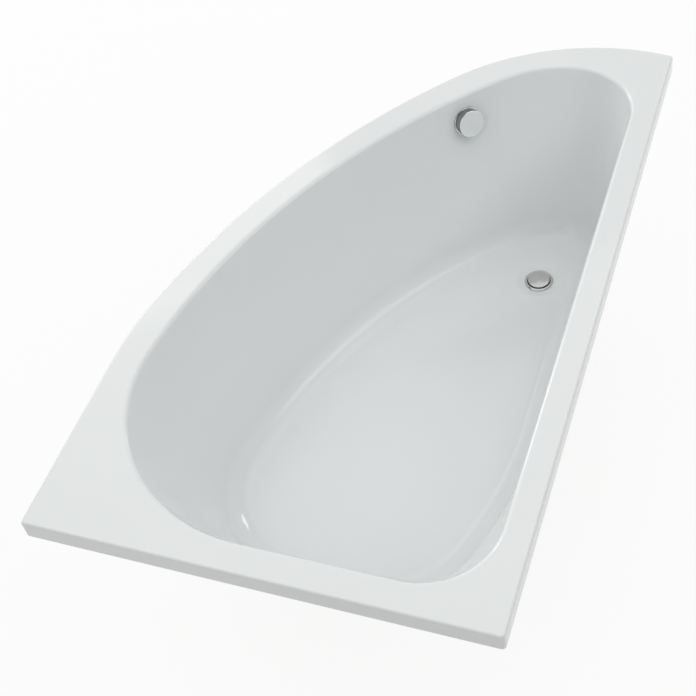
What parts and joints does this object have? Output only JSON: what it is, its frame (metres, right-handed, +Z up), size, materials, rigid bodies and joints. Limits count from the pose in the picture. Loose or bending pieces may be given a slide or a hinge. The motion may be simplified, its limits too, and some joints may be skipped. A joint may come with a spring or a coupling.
{
  "type": "corner bathtub",
  "caption": "Offset corner bath with a curved front, flat corner ledge, deep tapered bowl, rotary overflow, pop-up waste, hose, trap and levelling feet.",
  "frame": {"origin": "on the floor under the middle of the plan box", "axes": "+X along the straight back side to the wide straight end, +Y towards the straight back side, +Z up"},
  "size_m": [1.5999, 0.95, 0.58],
  "materials": {
    "white_acrylic": "gloss white cast acrylic",
    "glass_fibre": "sprayed glass fibre and resin",
    "chipboard": "chipboard, sealed",
    "timber": "planed softwood",
    "plywood": "plywood",
    "zinc_steel": "zinc plated",
    "foot_plastic": "moulded",
    "chrome": "polished chrome plate",
    "seal_rubber": "soft rubber",
    "stem_brass": "turned brass",
    "spindle_steel": "turned",
    "waste_plastic": "moulded",
    "nut_plastic": "moulded",
    "cam_plastic": "moulded",
    "hose_plastic": "ribbed",
    "cable_sheath": "sheathed"
  },
  "bodies": {
    "bath": {"bath_shell": "white_acrylic", "fibreglass_backing": "glass_fibre", "base_board": "chipboard", "back_batten": "timber", "end_batten": "timber", "ledge_board": "plywood", "wide_leg_rail": "zinc_steel", "narrow_leg_rail": "zinc_steel", "rail_screws": "zinc_steel", "rail_nuts": "zinc_steel", "waste_flange": "chrome", "plug_guide": "waste_plastic", "waste_flange_seal": "seal_rubber", "waste_gasket": "seal_rubber", "waste_body": "waste_plastic", "lever_pin": "zinc_steel", "trap_body": "waste_plastic", "trap_nut": "nut_plastic", "trap_seal": "seal_rubber", "trap_cleaning_cap": "waste_plastic", "outlet_seal": "seal_rubber", "outlet_nut": "nut_plastic", "overflow_rosette": "chrome", "overflow_gasket": "seal_rubber", "overflow_screws": "chrome", "overflow_body": "waste_plastic", "overflow_hose": "hose_plastic", "upper_hose_nut": "nut_plastic", "lower_hose_nut": "nut_plastic", "control_cable": "cable_sheath", "cable_clips": "cam_plastic"},
    "knob": {"overflow_knob": "chrome", "overflow_spindle": "spindle_steel", "cable_cam": "cam_plastic"},
    "plug": {"plug_cap": "chrome", "plug_seal": "seal_rubber", "plug_stem": "stem_brass"},
    "lever": {"lifter_lever": "waste_plastic"},
    "foot_wide_front": {"foot_stud_wide_front": "zinc_steel", "foot_pad_wide_front": "foot_plastic"},
    "foot_wide_back": {"foot_stud_wide_back": "zinc_steel", "foot_pad_wide_back": "foot_plastic"},
    "foot_narrow_front": {"foot_stud_narrow_front": "zinc_steel", "foot_pad_narrow_front": "foot_plastic"},
    "foot_narrow_back": {"foot_stud_narrow_back": "zinc_steel", "foot_pad_narrow_back": "foot_plastic"}
  },
  "joints": [
    {"name": "knob_turn", "type": "hinge", "parent": "bath", "child": "knob", "pos_m": [-0.54914, 0.02925, 0.5146], "axis": [0.6649, 0.6934, 0.2778], "range_deg": [0, 90]},
    {"name": "plug_lift", "type": "slide", "parent": "bath", "child": "plug", "axis": [0, 0, 1], "range_m": [0, 0.012]},
    {"name": "lever_turn", "type": "hinge", "parent": "bath", "child": "lever", "pos_m": [-0.41899, 0.21411, 0.12], "axis": [0.7827, -0.6224, 0], "range_deg": [0, 20.67]},
    {"name": "foot_screw_wide_front", "type": "slide", "parent": "bath", "child": "foot_wide_front", "axis": [0, 0, 1], "range_m": [-0.02, 0.005]},
    {"name": "foot_screw_wide_back", "type": "slide", "parent": "bath", "child": "foot_wide_back", "axis": [0, 0, 1], "range_m": [-0.02, 0.005]},
    {"name": "foot_screw_narrow_front", "type": "slide", "parent": "bath", "child": "foot_narrow_front", "axis": [0, 0, 1], "range_m": [-0.02, 0.005]},
    {"name": "foot_screw_narrow_back", "type": "slide", "parent": "bath", "child": "foot_narrow_back", "axis": [0, 0, 1], "range_m": [-0.02, 0.005]}
  ],
  "couplings": [
    {"joint": "plug_lift", "follows": "knob_turn", "m_per_rad": 0.0076394},
    {"joint": "lever_turn", "follows": "knob_turn", "ratio": 0.22964}
  ]
}
